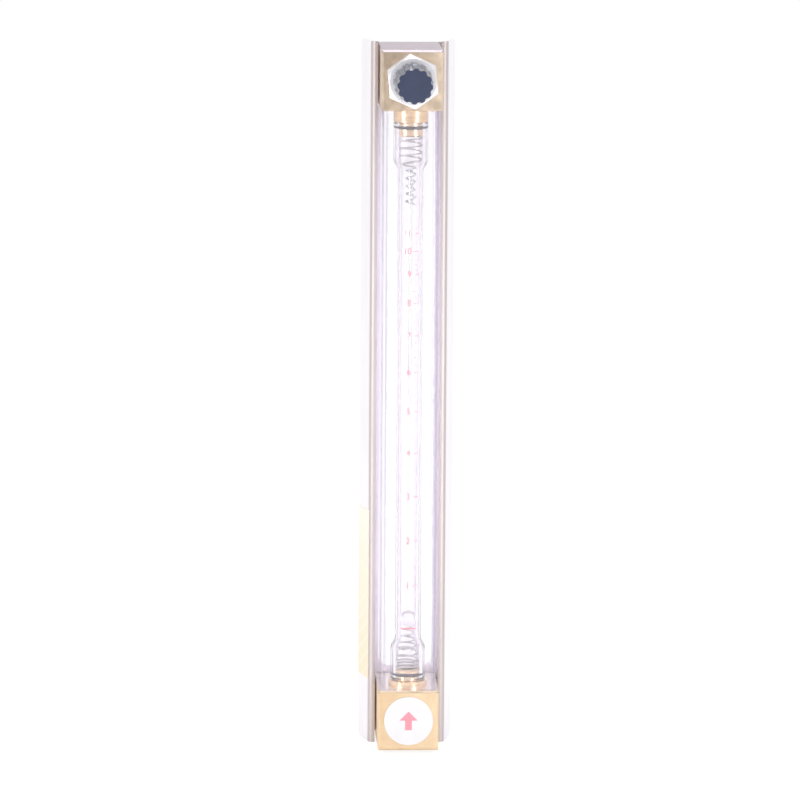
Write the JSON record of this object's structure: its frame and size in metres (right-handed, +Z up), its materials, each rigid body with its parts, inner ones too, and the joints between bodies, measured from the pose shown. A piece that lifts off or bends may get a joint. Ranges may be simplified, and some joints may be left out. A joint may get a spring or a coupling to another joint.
{
  "type": "rotameter",
  "caption": "Slim purge rotameter: tapered glass tube with a ball float between two square end blocks, needle valve with fluted knob, clear shield, folded steel housing.",
  "frame": {"origin": "centre of the inlet port's mouth, on the boss behind the bottom block", "axes": "+Y out of the inlet port towards the rear, -Y the front with the knob, +Z up along the glass tube, +X to the right seen from the front"},
  "size_m": [0.0348, 0.0668, 0.2618],
  "materials": {
    "stainless_sheet": "fine brushed, a little satin",
    "plated_brass": "machined brass with a pale bright finish",
    "brass_insert": "turned",
    "bright_steel": "turned and polished",
    "spring_steel": "drawn wire",
    "clear_plastic": "clear moulded plastic, glossy",
    "tube_glass": "clear polished glass",
    "ball_glass": "clear glass ball",
    "seal_rubber": "smooth moulded rubber",
    "knob_dark": "dark anodised look, satin",
    "label_paper": "smooth printed film"
  },
  "bodies": {
    "housing": {"housing_channel": "stainless_sheet", "bottom_block": "plated_brass", "top_block": "plated_brass", "front_shield": "clear_plastic", "rear_shield": "clear_plastic", "metering_tube": "tube_glass", "upper_stop_spring": "spring_steel", "lower_stop_spring": "spring_steel", "upper_tube_insert": "brass_insert", "lower_tube_insert": "brass_insert", "upper_tube_o_ring": "seal_rubber", "lower_tube_o_ring": "seal_rubber", "upper_insert_o_ring": "seal_rubber", "lower_insert_o_ring": "seal_rubber", "valve_bonnet": "bright_steel", "bonnet_o_ring": "seal_rubber", "valve_seat": "brass_insert", "housing_screws": "bright_steel", "housing_washers": "bright_steel", "round_label": "label_paper", "side_label": "label_paper"},
    "float": {"float_ball": "ball_glass"},
    "spindle": {"valve_spindle": "bright_steel", "spindle_o_ring": "seal_rubber"},
    "knob": {"valve_knob": "knob_dark", "knob_set_screw": "bright_steel"}
  },
  "joints": [
    {"name": "float_rise", "type": "slide", "parent": "housing", "child": "float", "axis": [0, 0, 1], "range_m": [0, 0.1507]},
    {"name": "valve_travel", "type": "slide", "parent": "housing", "child": "spindle", "axis": [0, -1, 0], "range_m": [-0.00119, 0.00198]},
    {"name": "knob_turn", "type": "hinge", "parent": "spindle", "child": "knob", "pos_m": [0, -0.0485, 0.2368], "axis": [0, -1, 0], "range_deg": [-540, 900]}
  ],
  "couplings": [
    {"joint": "knob_turn", "follows": "valve_travel", "rad_per_m": 7913.3}
  ]
}
